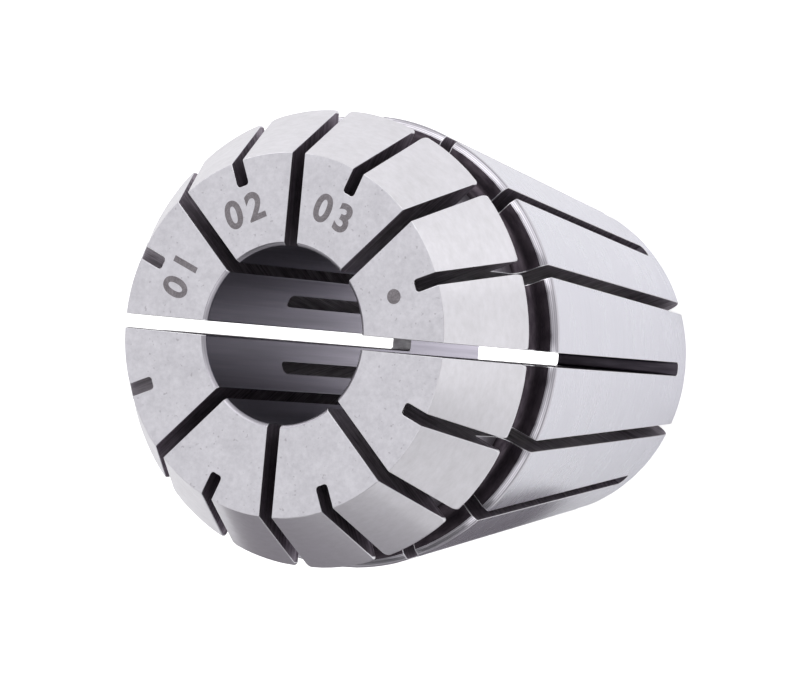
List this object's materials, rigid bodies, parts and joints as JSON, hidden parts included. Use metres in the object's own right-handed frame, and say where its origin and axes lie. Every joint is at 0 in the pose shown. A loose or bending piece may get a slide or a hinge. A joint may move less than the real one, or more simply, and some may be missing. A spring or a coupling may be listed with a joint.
{
  "type": "er collet",
  "caption": "One-piece steel spring collet: a slotted taper with a nose cone and an extraction groove, which closes on a round tool shank in its bore.",
  "frame": {"origin": "centre of the small back end, where the axis meets the plane it stands on", "axes": "+Z along the axis from the small back end to the clamping face, +X through the middle of one front slot"},
  "size_m": [0.026, 0.026, 0.034],
  "materials": {
    "spring_steel": "hardened spring steel, ground bright on the taper, the cone and the face, dark from heat treatment in the slots and the groove"
  },
  "bodies": {
    "root": {"collet": "spring_steel"}
  },
  "joints": []
}
